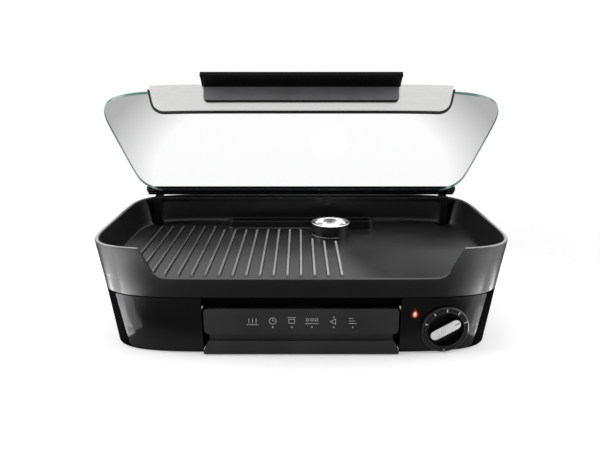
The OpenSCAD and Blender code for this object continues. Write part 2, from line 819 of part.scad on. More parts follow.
// Place of a rib's centre line
function rib_x(i) = rib_last_x - i * rib_pitch;

// Half length that the floor gives a rib, inside its fillet
function rib_room(x) = reach_y(abs(x) + rib_w / 2, floor_in + 5, plate_z);
cup_y = trough_y - cup_r + 1.5;
cup_clear = cup_r + 8;
function rib_back(x) =
  abs(x - cup_x) < cup_clear ? cup_y - sqrt(pow(cup_clear, 2) - pow(x - cup_x, 2))
  : abs(x) < trough_l / 2 + 4 ? trough_y - 2.5
  : 109;

// Rib along Z with sloped ends, standing in Y
module rib(length) {
  b = rib_w / 2;
  t = rib_w / 4;
  ramp = 6;
  low = -0.2;
  function section(w, h, z) = [[-b, -rib_sink, z], [b, -rib_sink, z], [w, h, z], [-w, h, z]];
  loft([section(b, low, 0), section(t, rib_h, ramp), section(t, rib_h, length - ramp), section(b, low, length)]);
}

module at_trough(z) {
  translate([0, trough_y + trough_w / 2, z]) children();
}

post_places = [-post_x, post_x];
peg_y = post_y + 3.5;
socket_z = spigot_z + 0.6;
rail_h = 6;
rail_d = 6;
rail_y = post_y + 9;
rail_z = rim_z - rail_h / 2;
rail_pin = 1.6;

module grill_plate() {
  floor_e = rim_t + fillet_r;
  color(coating) difference() {
    union() {
      loft(concat(
        [ring(under_z, rim_t, under_z), ring(seam_z, rim_t, seam_z), ring(seam_z, 0.5, seam_z),
         ring(seam_z + 1, 0, seam_z + 1), ring(rim_z - rim_r, 0, rim_z - rim_r),
         ring(rim_z, rim_r, rim_z), ring(rim_z, rim_t - rim_r, rim_z)],
        [ring(rim_z - rim_r, rim_t, rim_z)],
        [for (a = [0:22.5:67.5])
          ring(plate_z + fillet_r * (1 - sin(a)), rim_t + fillet_r * (1 - cos(a)), plate_z + fillet_r)],
        [ring(plate_z - 0.6, floor_e, plate_z + fillet_r)]
      ));
      translate([0, 0, under_z + 1]) linear_extrude(plate_t - 1)
        polygon(oval(half_w(plate_z + fillet_r) - floor_e + 3, half_d(plate_z + fillet_r) - floor_e + 3));
      for (i = [0:rib_count - 1]) {
        x = rib_x(i);
        front = min(rib_near, rib_room(x));
        back = min(rib_back(x), rib_room(x));
        translate([x, back, plate_z]) rotate([90, 0, 0]) rib(front + back);
      }
      at_trough(plate_z - 1) slot(trough_l, trough_w, trough_h + 1);
      translate([cup_x, cup_y, plate_z - 1]) cylinder(r = cup_r - 1, h = cup_h - 0.8 - seat_gap + 1);
      for (x = post_places) translate([x, peg_y, socket_z]) cylinder(r = peg_r + 3, h = plate_z - socket_z);
      translate([0, drain_y, plate_z - spout_h]) slot(drain_l + 2 * spout_t, drain_w + 2 * spout_t, spout_h - 1);
    }
    through_front(cut_path(0, rim_z + 10));
    at_trough(plate_z + 4) slot(trough_l - 2 * trough_wall, trough_w - 2 * trough_wall, trough_h);
    translate([cup_x, cup_y, plate_z + cup_h - bowl_depth - 2]) cylinder(r = cup_r - 4, h = cup_h);
    for (x = post_places) translate([x, peg_y, socket_z + 1.5]) cylinder(r = peg_r + run_gap, h = wall_h);
    translate([0, drain_y, plate_z - spout_h - 1]) slot(drain_l, drain_w, spout_h + 2);
  }
}

module infuser_cup() {
  t = 0.8;
  top = plate_z + cup_h;
  r = cup_r - 5.2;
  color(bright) translate([cup_x, cup_y, top]) rotate_extrude() polygon([
    [0, -bowl_depth], [r - 6, -bowl_depth], [r - 2, -bowl_depth + 2.5], [r, -t], [cup_r, -t], [cup_r, 0],
    [r - t, 0], [r - t - 2, -bowl_depth + 3], [r - 6.3, -bowl_depth + t], [0, -bowl_depth + t]
  ]);
}

// Post standing in the rear corner of the plate, with an arm over the rim to the hinge
module post(side) {
  arm_z = rim_z + seat_gap;
  inner_y = reach_y(post_x + post_w / 2, rim_t, rim_z) - 0.5;
  eye_r = bar_r - 0.7;
  color(black) translate([side * post_x, 0, 0]) difference() {
    union() {
      intersection() {
        translate([-post_w / 2, post_y, plate_z]) cube([post_w, post_d + 8, arm_z - plate_z]);
        translate([-side * post_x, 0, 0]) cavity(slide_gap);
      }
      translate([0, peg_y, socket_z + 1.5 + seat_gap]) cylinder(r = peg_r, h = 18);
      along_x([
        [post_y, arm_z - 3], [inner_y, arm_z - 3], [inner_y, arm_z], [hinge_y - 2, arm_z], [hinge_y, arm_z + 1.5],
        [hinge_y, hinge_z - 2], [hinge_y - 4.5, hinge_z - 2.6], [glass_back + 1, arm_z + 3.2],
        [glass_back + 0.6, arm_z + 1.2], [post_y, arm_z + 1.2]
      ], post_w);
      translate([0, hinge_y, hinge_z]) rotate([0, 90, 0]) cylinder(r = eye_r, h = post_w, center = true);
      intersection() {
        translate([side > 0 ? 0 : -post_w / 2 - 7, post_y, rim_z - rail_h - 1]) cube([post_w / 2 + 7, 5, rail_h + 1]);
        translate([-side * post_x, 0, 0]) cavity(slide_gap);
      }
    }
    translate([-side * post_w / 2, rail_y, rail_z]) rotate([0, 90, 0]) cylinder(r = rail_pin + 0.02, h = 10, center = true);
    translate([0, hinge_y, hinge_z]) rotate([0, 90, 0]) cylinder(r = pin_r + run_gap, h = 2 * post_w, center = true);
  }
}

// Rail that joins the two posts under the hinge bar
module cross_rail() {
  half = post_x - post_w / 2;
  color(black) {
    translate([-half, rail_y - rail_d / 2, rim_z - rail_h]) cube([2 * half, rail_d, rail_h]);
    translate([0, rail_y, rail_z]) rotate([0, 90, 0]) cylinder(r = rail_pin, h = 2 * half + 8, center = true);
  }
}

// The space inside the plate's walls, shrunk by g
module cavity(g) {
  top = plate_z + fillet_r;
  loft(concat(
    [for (a = [90:-22.5:22.5])
      ring(plate_z + g + fillet_r * (1 - sin(a)), rim_t + g + fillet_r * (1 - cos(a)), top)],
    [ring(top + g, rim_t + g, top), ring(rim_z, rim_t + g, rim_z), ring(rim_z + 5, rim_t + g, rim_z)]
  ));
}

module left_post() {
  post(-1);
}

module right_post() {
  post(1);
}

cap_t = 3;
glass_back = hinge_y - 10.5;

module hinge_bar() {
  low = glass_z - jaw_lip - hinge_z;
  high = glass_top + bar_top_lip - hinge_z;
  slot_w = post_w + 0.8;
  color(black) lid_pose() difference() {
    translate([0, hinge_y, hinge_z]) {
      rotate([0, 90, 0]) cylinder(r = bar_r, h = bar_l - 2 * cap_t, center = true);
      along_x([
        [0, low], [0, high], [-jaw_l + 4, high], [-jaw_l + 1, high - 0.8], [-jaw_l, high - 1.6],
        [-jaw_l, low + 0.8], [-jaw_l + 1, low]
      ], bar_l - 2 * cap_t);
    }
    translate([-bar_l, glass_back - far, glass_z]) cube([2 * bar_l, far, glass_t]);
    for (x = post_places) translate([x, hinge_y, hinge_z]) {
      translate([-slot_w / 2, -jaw_l - 1, low - 3]) cube([slot_w, jaw_l + 1, glass_top - hinge_z - low + 3]);
      rotate([0, 90, 0]) cylinder(r = bar_r + 0.5, h = slot_w, center = true);
    }
    for (x = post_places) translate([x, hinge_y, hinge_z]) rotate([0, 90, 0])
      cylinder(r = pin_r + 0.02, h = pin_l, center = true);
  }
}

module bar_end_caps() {
  low = glass_z - jaw_lip - hinge_z;
  high = glass_top + bar_top_lip - hinge_z;
  color(black) lid_pose() for (s = [-1, 1]) translate([s * (bar_l - cap_t) / 2, hinge_y, hinge_z]) {
    rotate([0, 90, 0]) cylinder(r = bar_r, h = cap_t, center = true);
    along_x([[0, low], [0, high], [-jaw_l + 2, high], [-jaw_l, high - 2], [-jaw_l, low + 1], [-jaw_l + 1, low]], cap_t);
  }
}

module hinge_pins() {
  color(steel) lid_pose() for (x = post_places) translate([x, hinge_y, hinge_z]) rotate([0, 90, 0])
    cylinder(r = pin_r, h = pin_l - 0.6, center = true);
}

clamp_l = 2 * cut_half - 20;
clamp_w = 12;
clamp_x = [for (i = [-1.5:1.5]) i * (clamp_l - 40) / 3];
clamp_y = -(rim_d / 2 - glass_in_y - 7);
clamp_t = 2;

module lid_glass() {
  a = rim_w / 2 - glass_in_x;
  b = rim_d / 2 - glass_in_y;
  color([0.75, 0.85, 0.82, 0.4]) lid_pose() difference() {
    translate([0, 0, glass_z]) linear_extrude(glass_t)
      polygon([for (p = oval(a, b, glass_n, 144)) [p.x, min(p.y, glass_back)]]);
    for (x = clamp_x) translate([x, clamp_y, glass_z - 1]) cylinder(r = 3, h = glass_t + 2);
  }
}

module lid_fascia() {
  e = gasket_gap + gasket_w;
  top = glass_top + fascia_t;
  flange_half = cut_half + fascia_flare - 4.5;
  color(steel) lid_pose() difference() {
    union() {
      intersection() {
        layer(0, fascia_t, cut_z, top);
        through_front(fascia_path(e, top + 1));
      }
      intersection() {
        translate([0, 0, glass_top]) linear_extrude(fascia_t) polygon(oval(half_w(glass_top), half_d(glass_top)));
        translate([-flange_half, -half_d(top), glass_top - 1]) cube([2 * flange_half, flange_l, 5]);
      }
    }
    for (x = clamp_x) translate([x, clamp_y, glass_top - 1]) cylinder(r = screw_r + 0.2, h = 5);
    for (x = handle_screw_x) translate([x, 0, handle_screw_z]) rotate([90, 0, 0]) cylinder(r = screw_r + 0.2, h = far);
  }
}

module lid_gasket() {
  top = glass_z - 0.5;
  color(rubber) lid_pose() intersection() {
    union() {
      difference() {
        layer(-0.6, fascia_t + 1.2, cut_z - 1, top);
        through_front(fascia_path(gasket_gap + gasket_w, top + 5));
      }
      difference() {
        layer(fascia_t, fascia_t + 1.2, cut_z - 1, top);
        through_front(fascia_path(gasket_gap + gasket_w + 4, top + 5));
      }
    }
    through_front(fascia_path(gasket_gap, top + 5));
  }
}

module clamp_strip() {
  color(black) lid_pose() difference() {
    translate([0, clamp_y, glass_z - clamp_t]) slab(clamp_l, clamp_w, 3, clamp_t);
    for (x = clamp_x) translate([x, clamp_y, glass_z - 5]) cylinder(r = screw_r + 0.02, h = 10);
  }
}

module clamp_screws() {
  color(steel) lid_pose() for (x = clamp_x) translate([x, clamp_y, 0]) {
    translate([0, 0, glass_z - clamp_t]) cylinder(r = screw_r, h = glass_top + fascia_t - glass_z + clamp_t);
    translate([0, 0, glass_top + fascia_t]) cylinder(r1 = head_r, r2 = head_r - 1, h = 1.6);
  }
}

handle_screw_x = [-90, 0, 90];
handle_top = glass_top + fascia_t + 0.4;
handle_low = handle_top - handle_h;
handle_screw_z = handle_low + 8;
handle_flange = 3.5;

module lid_handle() {
  y0 = half_d(handle_low);
  y1 = half_d(handle_top);
  slope = (y1 - y0) / handle_h;
  under = handle_top - ledge_t;
  front = y1 + handle_reach;
  yu = y0 + slope * (under - handle_low);
  color(black) lid_pose() difference() {
    union() {
      intersection() {
        along_x([[-y0, handle_low], [-y0 - handle_flange, handle_low], [-yu - handle_flange, under + 1],
          [-y1 - handle_flange, handle_top], [-y1, handle_top]], handle_l - 4);
        through_front(rounded([[-handle_l / 2 + 2, handle_low], [handle_l / 2 - 2, handle_low],
          [handle_l / 2 - 2, handle_top + 1], [-handle_l / 2 + 2, handle_top + 1]], [5, 5, 0, 0]));
      }
      along_x([[-y1, handle_top], [-yu - handle_flange, under], [-front + 3, under + 1.5], [-front + 2.4, under],
        [-front + 0.8, under], [-front, under + 1], [-front, handle_top - 1.2], [-front + 1.2, handle_top]], handle_l);
    }
    for (x = handle_screw_x) translate([x, -half_d(handle_screw_z) + 1, handle_screw_z]) rotate([90, 0, 0])
      cylinder(r = screw_r - 0.2, h = 3);
  }
}

module handle_screws() {
  color(steel) lid_pose() for (x = handle_screw_x) {
    y = -half_d(handle_screw_z) + fascia_t;
    translate([x, y + 2, handle_screw_z]) rotate([90, 0, 0]) {
      cylinder(r1 = head_r - 1, r2 = head_r, h = 1.5);
      cylinder(r = screw_r - 0.22, h = 4.6);
    }
  }
}

housing();
bottom_cover();
left_panel();
right_panel();
knob_dial();
indicator_lens();
indicator_lamp();
reflector();
heating_element();
element_pins();
element_supports();
thermostat();
thermostat_nut();
terminal_block();
cord_gland();
tray_rails();
feet();
cover_screws();
grill_plate();
infuser_cup();
tray_pan();
tray_front();
knob();
knob_inlay();
knob_shaft();
left_post();
right_post();
cross_rail();
hinge_bar();
bar_end_caps();
hinge_pins();
lid_glass();
lid_fascia();
lid_gasket();
clamp_strip();
clamp_screws();
lid_handle();
handle_screws();
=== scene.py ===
import bpy
import bmesh
import json
import math
from mathutils import Matrix, Vector


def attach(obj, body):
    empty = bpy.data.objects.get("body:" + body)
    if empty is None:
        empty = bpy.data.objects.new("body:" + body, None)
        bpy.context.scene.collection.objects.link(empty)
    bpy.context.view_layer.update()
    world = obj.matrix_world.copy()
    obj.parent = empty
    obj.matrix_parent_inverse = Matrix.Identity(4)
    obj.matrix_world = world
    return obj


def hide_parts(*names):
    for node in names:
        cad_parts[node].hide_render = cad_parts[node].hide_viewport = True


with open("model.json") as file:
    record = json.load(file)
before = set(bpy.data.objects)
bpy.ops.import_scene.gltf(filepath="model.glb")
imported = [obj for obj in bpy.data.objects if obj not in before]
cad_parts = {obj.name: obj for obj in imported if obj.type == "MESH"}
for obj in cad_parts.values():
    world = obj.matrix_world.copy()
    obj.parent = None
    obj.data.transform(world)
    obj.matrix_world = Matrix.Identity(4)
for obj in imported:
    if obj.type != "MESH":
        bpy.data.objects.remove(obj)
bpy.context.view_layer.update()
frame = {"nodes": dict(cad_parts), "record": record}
NODES = frame["nodes"]
BODY_OF = {n: b for b, members in frame["record"]["behaviour"]["bodies"].items() for n in members}
SLOT_OF = {s["node"]: s["material_slot"] for s in frame["record"]["subparts"]}
MM = 0.001

# Camera, fitted to the outlines in the photograph
CAM_AT, CAM_DOWN = (-0.0016, -0.844, 0.3633), math.radians(15.4)
scene = bpy.context.scene
cam_data = bpy.data.cameras.new("camera")
cam_data.sensor_width = 36.0
cam_data.lens = 36.0
cam = bpy.data.objects.new("camera", cam_data)
cam.location = CAM_AT
cam.rotation_euler = (math.pi / 2 - CAM_DOWN, 0.0, 0.0)
scene.collection.objects.link(cam)
scene.camera = cam
scene.view_settings.view_transform = "Standard"


# ---------- materials ----------
class Mat:
    """A node material built up with short calls."""

    def __init__(self, name):
        self.m = bpy.data.materials.new(name)
        self.m.use_nodes = True
        self.t = self.m.node_tree
        self.b = self.t.nodes["Principled BSDF"]
        self.out = self.t.nodes["Material Output"]
        self.co = self.add("ShaderNodeTexCoord").outputs["Object"]

    def add(self, kind, **values):
        node = self.t.nodes.new(kind)
        for k, v in values.items():
            if hasattr(node, k):
                setattr(node, k, v)
            else:
                node.inputs[k].default_value = v
        return node

    def link(self, a, b):
        self.t.links.new(a, b)

    def put(self, socket, value):
        """A number, a colour or another node's output into the shader."""
        if hasattr(value, "links"):
            self.link(value, self.b.inputs[socket])
        else:
            self.b.inputs[socket].default_value = value

    def mapped(self, scale=(1, 1, 1), rot=(0, 0, 0), loc=(0, 0, 0)):
        n = self.add("ShaderNodeMapping")
        n.inputs["Location"].default_value = loc
        n.inputs["Rotation"].default_value = rot
        n.inputs["Scale"].default_value = scale
        self.link(self.co, n.inputs["Vector"])
        return n.outputs["Vector"]

    def axes(self, vector=None):
        n = self.add("ShaderNodeSeparateXYZ")
        self.link(vector or self.co, n.inputs[0])
        return n.outputs

    def noise(self, scale, detail=2.0, rough=0.5, vector=None):
        n = self.add("ShaderNodeTexNoise")
        n.inputs["Scale"].default_value = scale
        n.inputs["Detail"].default_value = detail
        n.inputs["Roughness"].default_value = rough
        self.link(vector or self.co, n.inputs["Vector"])
        return n.outputs["Fac"]

    def ramp(self, fac, *stops):
        n = self.add("ShaderNodeValToRGB")
        e = n.color_ramp.elements
        while len(e) < len(stops):
            e.new(0.5)
        for el, (p, c) in zip(e, stops):
            el.position = p
            el.color = colour(c)
        self.link(fac, n.inputs["Fac"])
        return n.outputs["Color"]

    def span(self, fac, low, high, f0=0.0, f1=1.0):
        """From low at f0 to high at f1, and level past both."""
        n = self.add("ShaderNodeMapRange")
        for k, v in (("From Min", f0), ("From Max", f1), ("To Min", low), ("To Max", high)):
            n.inputs[k].default_value = v
        self.link(fac, n.inputs["Value"])
        return n.outputs["Result"]

    def zone(self, place, low, high, reach):
        """Span between two places given in mm."""
        return self.span(place, low, high, reach[0] * MM, reach[1] * MM)

    def product(self, *factors):
        made = factors[0]
        for f in factors[1:]:
            made = self.math("MULTIPLY", made, f)
        return made

    def math(self, op, a, b=None):
        n = self.add("ShaderNodeMath", operation=op)
        for s, v in zip(n.inputs, (a, b)):
            if isinstance(v, (int, float)):
                s.default_value = v
            elif v is not None:
                self.link(v, s)
        return n.outputs[0]

    def mix(self, fac, a, b):
        n = self.add("ShaderNodeMix", data_type="RGBA")
        self.link(fac, n.inputs["Factor"])
        for s, v in ((n.inputs[6], a), (n.inputs[7], b)):
            if hasattr(v, "links"):
                self.link(v, s)
            else:
                s.default_value = colour(v)
        return n.outputs[2]

    def bump(self, height, distance, strength=1.0, edge=0.0):
        n = self.add("ShaderNodeBump")
        n.inputs["Distance"].default_value = distance
        n.inputs["Strength"].default_value = strength
        self.link(height, n.inputs["Height"])
        if edge:
            self.link(self.rounded(edge), n.inputs["Normal"])
        self.link(n.outputs["Normal"], self.b.inputs["Normal"])

    def rounded(self, radius):
        n = self.add("ShaderNodeBevel", samples=4)
        n.inputs["Radius"].default_value = radius
        return n.outputs["Normal"]


def colour(value):
    """Grey from one number, or a colour from three, with alpha."""
    if isinstance(value, (int, float)):
        value = (value, value, value)
    return (*value[:3], 1)


def shade(base, factor):
    """A colour made darker or lighter."""
    return tuple(min(1.0, c * factor) for c in colour(base)[:3])


def plastic(name, base, rough, grain=1800.0, depth=0.00002, edge=0.0006, spec=0.5, ior=1.5):
    """Moulded plastic with a fine grain and rounded edges."""
    m = Mat(name)
    wide = m.noise(22.0, 3.0)
    m.put("Base Color", m.ramp(wide, (0.3, shade(base, 0.85)), (0.75, shade(base, 1.2))))
    m.put("Roughness", m.span(wide, rough - 0.04, rough + 0.05, 0.3, 0.7))
    m.put("Specular IOR Level", spec)
    m.put("IOR", ior)
    m.bump(m.noise(grain, 2.0, 0.6), depth, 0.6, edge)
    return m.m


def brushed(name, base, rough, fine, edge=0.0):
    """Steel brushed along X."""
    m = Mat(name)
    lines = m.noise(1.0, 3.0, 0.6, m.mapped((4.0, fine, fine)))
    wide = m.noise(7.0, 2.0)
    m.put("Metallic", 1.0)
    m.put("Base Color", m.ramp(lines, (0.25, shade(base, 0.94)), (0.75, shade(base, 1.06))))
    fine_rough = m.span(lines, rough - 0.03, rough + 0.04, 0.3, 0.7)
    m.put("Roughness", m.math("ADD", fine_rough, m.span(wide, -0.03, 0.03)))
    m.put("Anisotropic", 0.4)
    m.bump(lines, 0.000004, 0.4, edge)
    return m.m


def steel(name, base, rough, edge=0.0004):
    """Plain steel, a little cloudy."""
    m = Mat(name)
    cloud = m.noise(60.0, 4.0, 0.6)
    m.put("Metallic", 1.0)
    m.put("Base Color", m.ramp(cloud, (0.3, shade(base, 0.9)), (0.7, base)))
    m.put("Roughness", m.span(cloud, rough - 0.05, rough + 0.06, 0.3, 0.7))
    m.bump(m.noise(400.0, 2.0), 0.00001, 0.4, edge)
    return m.m


def coating(name):
    """Dark coating with fine flecks, with a painted highlight and less roughness on top of the ribs,
    lighter towards +X, and a painted highlight on the rim's front half.
    """
    m = Mat(name)
    fleck = m.noise(2600.0, 2.0, 0.7)
    wide = m.noise(14.0, 3.0)
    x, y, z = m.axes()
    rib_tops = m.product(m.zone(z, 0.0, 1.0, RIB_FLANK), m.zone(z, 1.0, 0.0, RIB_OVER),
                     m.zone(x, 1.0, 0.0, RIBS_END), m.zone(y, 0.0, 1.0, RIBS_FRONT))
    # painted highlight on the rib tops, lighter towards +X
    rib_highlight = m.ramp(m.zone(x, 0.0, 1.0, RIBS_LIT), (0.0, 0.08), (1.0, 0.42))
    base = m.mix(rib_tops, m.ramp(fleck, (0.35, 0.004), (0.72, 0.007)), rib_highlight)
    # painted highlight: the rim's top is mixed towards grey on its front half
    rim = m.product(m.zone(z, 0.0, 1.0, RIM_TOP), m.zone(y, 1.0, 0.0, RIM_LIT))
    base = m.mix(rim, base, 0.4)
    m.put("Base Color", base)
    rough = m.math("ADD", m.span(wide, 0.31, 0.37, 0.3, 0.7), m.span(fleck, -0.03, 0.03))
    m.put("Roughness", m.math("SUBTRACT", rough, m.math("MULTIPLY", rib_tops, 0.12)))
    m.put("Specular IOR Level", 0.68)
    m.bump(fleck, 0.00003, 0.45, 0.0006)
    return m.m


def glass(name):
    """Clear tempered glass, with painted shade that grows towards its front corners."""
    m = Mat(name)
    x, y, z = m.axes()
    dy = m.math("SUBTRACT", y, HINGE_Y * MM)
    dz = m.math("SUBTRACT", z, HINGE_Z * MM)
    reach = m.math("ADD", m.math("MULTIPLY", dy, dy), m.math("MULTIPLY", dz, dz))
    side = m.math("ADD", m.math("ABSOLUTE", x), m.math("MULTIPLY", reach, 1.7))
    cloud = m.span(m.noise(6.0, 1.0), -0.004, 0.004)
    # painted shade: the glass lets less through towards its sides and away from the hinge
    dark = m.span(m.math("ADD", side, cloud), 0.0, 0.33, 0.24, 0.34)
    clear = m.add("ShaderNodeBsdfTransparent")
    gloss = m.add("ShaderNodeBsdfGlossy")
    gloss.inputs["Roughness"].default_value = 0.05
    m.link(m.ramp(dark, (0.0, (0.995, 1.0, 0.998)), (1.0, (0.0, 0.0, 0.0))), clear.inputs["Color"])
    fres = m.add("ShaderNodeFresnel")
    fres.inputs["IOR"].default_value = 1.3
    front = m.math("SUBTRACT", 1.0, m.add("ShaderNodeNewGeometry").outputs["Backfacing"])
    mix = m.add("ShaderNodeMixShader")
    m.link(m.product(fres.outputs[0], 0.4, front), mix.inputs[0])
    m.link(clear.outputs[0], mix.inputs[1])
    m.link(gloss.outputs[0], mix.inputs[2])
    m.link(mix.outputs[0], m.out.inputs["Surface"])
    return m.m


def glass_edge(name):
    """Cut rim of the glass, which shows green."""
    m = Mat(name)
    band = m.noise(90.0, 3.0, 0.6, m.mapped((0.25, 1, 1)))
    m.put("Base Color", m.ramp(band, (0.3, (0.075, 0.19, 0.155)), (0.7, (0.13, 0.28, 0.235))))
    m.put("Roughness", m.span(band, 0.14, 0.22))
    m.bump(band, 0.00002, 0.3)
    return m.m


def glow(name, centre, squash, radius, core, rim, strength):
    """Lit plastic: bright round its lamp, deep red towards its edge."""
    m = Mat(name)
    loc = [-c * s for c, s in zip(centre, squash)]
    length = m.add("ShaderNodeVectorMath", operation="LENGTH")
    m.link(m.mapped(squash, loc=loc), length.inputs[0])
    near = m.span(length.outputs["Value"], 1.0, 0.0, 0.0, radius)
    flicker = m.math("ADD", near, m.span(m.noise(500.0), -0.02, 0.02))
    m.put("Base Color", (0.2, 0.01, 0.008, 1))
    m.put("Roughness", 0.15)
    m.put("Emission Color", m.ramp(flicker, (0.1, shade(rim, 0.5)), (0.6, shade(rim, 2.0)), (0.78, core)))
    m.put("Emission Strength", strength)
    return m.m


def dotted(name):
    """Silver face with rows of small dark dots across the grip."""
    m = Mat(name)
    v = m.add("ShaderNodeTexVoronoi")
    v.inputs["Scale"].default_value = 400.0
    v.inputs["Randomness"].default_value = 0.1
    m.link(m.co, v.inputs["Vector"])
    dot = m.span(v.outputs["Distance"], 0.0, 1.0, 0.15, 0.3)
    m.put("Base Color", m.ramp(dot, (0.0, 0.35), (1.0, (0.99, 0.99, 0.98))))
    m.put("Roughness", m.span(dot, 0.5, 0.34))
    m.bump(dot, 0.00012, 0.6, 0.0003)
    return m.m


def bar_with_highlights(name):
    """Black bar with two painted highlights, fine pale lines along its front."""
    m = Mat(name)
    _, y, z = m.axes()
    pulses = [m.zone(m.math("ABSOLUTE", m.math("SUBTRACT", z, height * MM)), 1.0, 0.0, BAR_LINE)
              for height in BAR_LINES]
    lines = m.product(m.math("MAXIMUM", *pulses), m.zone(y, 1.0, 0.0, BAR_FRONT))
    cloud = m.noise(22.0, 3.0)
    black = m.ramp(cloud, (0.3, (0.003, 0.0035, 0.004)), (0.75, (0.005, 0.006, 0.007)))
    # painted highlights mixed into the black along the bar's front
    m.put("Base Color", m.mix(lines, black, (0.045, 0.058, 0.07)))
    m.put("Roughness", m.span(cloud, 0.18, 0.26, 0.3, 0.7))
    m.bump(m.noise(1800.0), 0.00002, 0.5, 0.0005)
    return m.m


def pale_print(name, low, high):
    """Pale colour for printed or moulded marks and for painted highlight lines."""
    m = Mat(name)
    m.put("Base Color", m.ramp(m.noise(3000.0), (0.3, low), (0.7, high)))
    m.put("Roughness", 0.5)
    return m.m


# Values that the CAD source also has, in mm and radians
RIM_W, RIM_D, CORNER_N = 540.0, 312.0, 6.0
BASE_Z, SEAM_Z, PLATE_Z, RIM_Z = 1.5, 78.0, 98.0, 143.0
SEAM_IN_X, SEAM_IN_Y, BASE_IN_X, BASE_IN_Y = 9.0, 7.0, 10.0, 5.0
LEAN = math.atan(BASE_IN_Y / (SEAM_Z - BASE_Z))
HINGE_Y, HINGE_Z, LID_OPEN = 144.5, 149.9, math.radians(37.6)
DIAL_UP, KNOB_TOP, GRIP_TOP, RECESS_R, DIAL_R = 4.0, -5.5, 4.5, 24.0, 31.3
KNOB_ANGLE, GRIP_L, GRIP_W = math.radians(62.0), 43.0, 14.5
LAMP_X, LAMP_Z = 143.0, 54.0
TRAY_FACE = RIM_D / 2 - SEAM_IN_Y - BASE_IN_Y * (SEAM_Z - SEAM_Z / 2) / (SEAM_Z - BASE_Z) + 1.0
LEDGE_T, CUP_RIM = 6.5, 5.2

# Where a look begins and ends, in mm; the rib, rim and bar spans place painted highlights
RIB_FLANK, RIB_OVER = (PLATE_Z + 1.7, PLATE_Z + 2.5), (PLATE_Z + 3.3, PLATE_Z + 3.6)
RIBS_END, RIBS_FRONT, RIBS_LIT = (56.0, 60.0), (-139.0, -136.0), (-150.0, 50.0)
RIM_TOP, RIM_LIT = (RIM_Z - 0.5, RIM_Z - 0.1), (-30.0, 30.0)
BAR_LINES, BAR_LINE, BAR_FRONT = (154.5, 150.0), (0.6, 1.3), (143.5, 144.5)

# Height of a stroke, printed or a painted highlight, and of the bead, and how deep each stands in its
# ground, in mm
PRINT_T, BEAD_T, SINK = 0.12, 0.5, 0.02


def base_reach(x, z):
    """Y of the front of the base at one place, in mm."""
    k = (SEAM_Z - z) / (SEAM_Z - BASE_Z)
    a, b = RIM_W / 2 - SEAM_IN_X - BASE_IN_X * k, RIM_D / 2 - SEAM_IN_Y - BASE_IN_Y * k
    return -b * (1 - (abs(x) / a) ** CORNER_N) ** (1 / CORNER_N)


BLACK = plastic("base_plastic", (0.003, 0.003, 0.0034), 0.5, spec=0.0, ior=1.12)
GLOSS = plastic("panel_gloss", (0.002, 0.002, 0.0024), 0.15, grain=60.0, depth=0.000004, edge=0.0004)
DIAL = plastic("dial_plastic", (0.009, 0.009, 0.0098), 0.34, edge=0.0005)
DARK = plastic("knob_plastic", (0.004, 0.004, 0.0045), 0.3, edge=0.0005)
HANDLE = plastic("handle_plastic", (0.001, 0.001, 0.0013), 0.3, edge=0.0006, spec=0.1)
# painted sheen: lighter grey for the front face of the black handle's flange
FLANGE_SHEEN = plastic("handle_flange", (0.2, 0.2, 0.208), 0.42, edge=0.0005)
TRAY = plastic("tray_plastic", (0.032, 0.032, 0.0335), 0.42, edge=0.0005)
TRAYPAN = plastic("tray_coated", (0.018, 0.018, 0.019), 0.35)
RUBBER = plastic("black_rubber", (0.012, 0.012, 0.012), 0.62, grain=900.0, depth=0.00004,
                 edge=0.0003, spec=0.3)
POST = plastic("post_black", (0.005, 0.005, 0.006), 0.34, edge=0.0006, spec=0.35)
BAR = bar_with_highlights("bar_black")
TERMINAL = plastic("terminal_plastic", (0.6, 0.57, 0.5), 0.5, edge=0.0004)
CAST = coating("coated_cast")
FASCIA = brushed("fascia_steel", (0.74, 0.74, 0.73), 0.3, 1100.0, 0.0004)
BRIGHT = steel("bright_steel", (0.95, 0.95, 0.95), 0.13)
SHEET = brushed("sheet_steel", (0.5, 0.5, 0.49), 0.38, 500.0)
# painted shade: nearly black steel sheet for the tray's rails, so that they show no glint
SHADOW = brushed("rails_painted_shade", (0.03, 0.03, 0.03), 0.5, 500.0)
CUP = steel("cup_steel", (0.93, 0.93, 0.93), 0.26, 0.0003)
SCREW = steel("screw_steel", (0.5, 0.5, 0.5), 0.3)
SHEATH = steel("element_sheath", (0.16, 0.15, 0.14), 0.45)
GLASS = glass("lid_glass")
EDGE = glass_edge("lid_glass_edge")
INLAY = dotted("inlay_silver")
PRINT = pale_print("pale_print", 0.62, 0.8)
# faint pale lines: painted highlights on the edges of knob and dial, and the small ring on the knob
FAINT_HIGHLIGHT_AND_MARK = pale_print("faint_highlight_and_mark", 0.05, 0.08)
LAMP_Y = base_reach(LAMP_X, LAMP_Z)
LENS = glow("lens_red", (LAMP_X * MM, (LAMP_Y - 0.3) * MM, (LAMP_Z + 0.8) * MM),
            squash=(1.0, 0.3, 0.62), radius=0.0062,
            core=(1.0, 0.66, 0.62), rim=(0.09, 0.004, 0.002), strength=1.0)
LAMP = glow("lamp_glow", (LAMP_X * MM, (LAMP_Y + 6) * MM, LAMP_Z * MM), squash=(1.0, 1.0, 1.0),
            radius=0.02, core=(1.0, 0.5, 0.35), rim=(0.5, 0.05, 0.03), strength=1.2)

# Material of each slot
LOOK = {
    "base_plastic": BLACK, "panel_gloss": GLOSS, "dial_plastic": DIAL, "sheet_steel": SHEET,
    "screw_steel": SCREW, "element_sheath": SHEATH, "terminal_plastic": TERMINAL, "black_rubber": RUBBER,
    "coated_cast": CAST, "bright_steel": BRIGHT, "tray_coated": TRAYPAN, "knob_plastic": DARK,
    "inlay_silver": INLAY, "post_black": POST, "bar_black": BAR, "fascia_steel": FASCIA,
    "handle_plastic": HANDLE, "lid_glass": GLASS, "lens_red": LENS, "lamp_glow": LAMP,
}


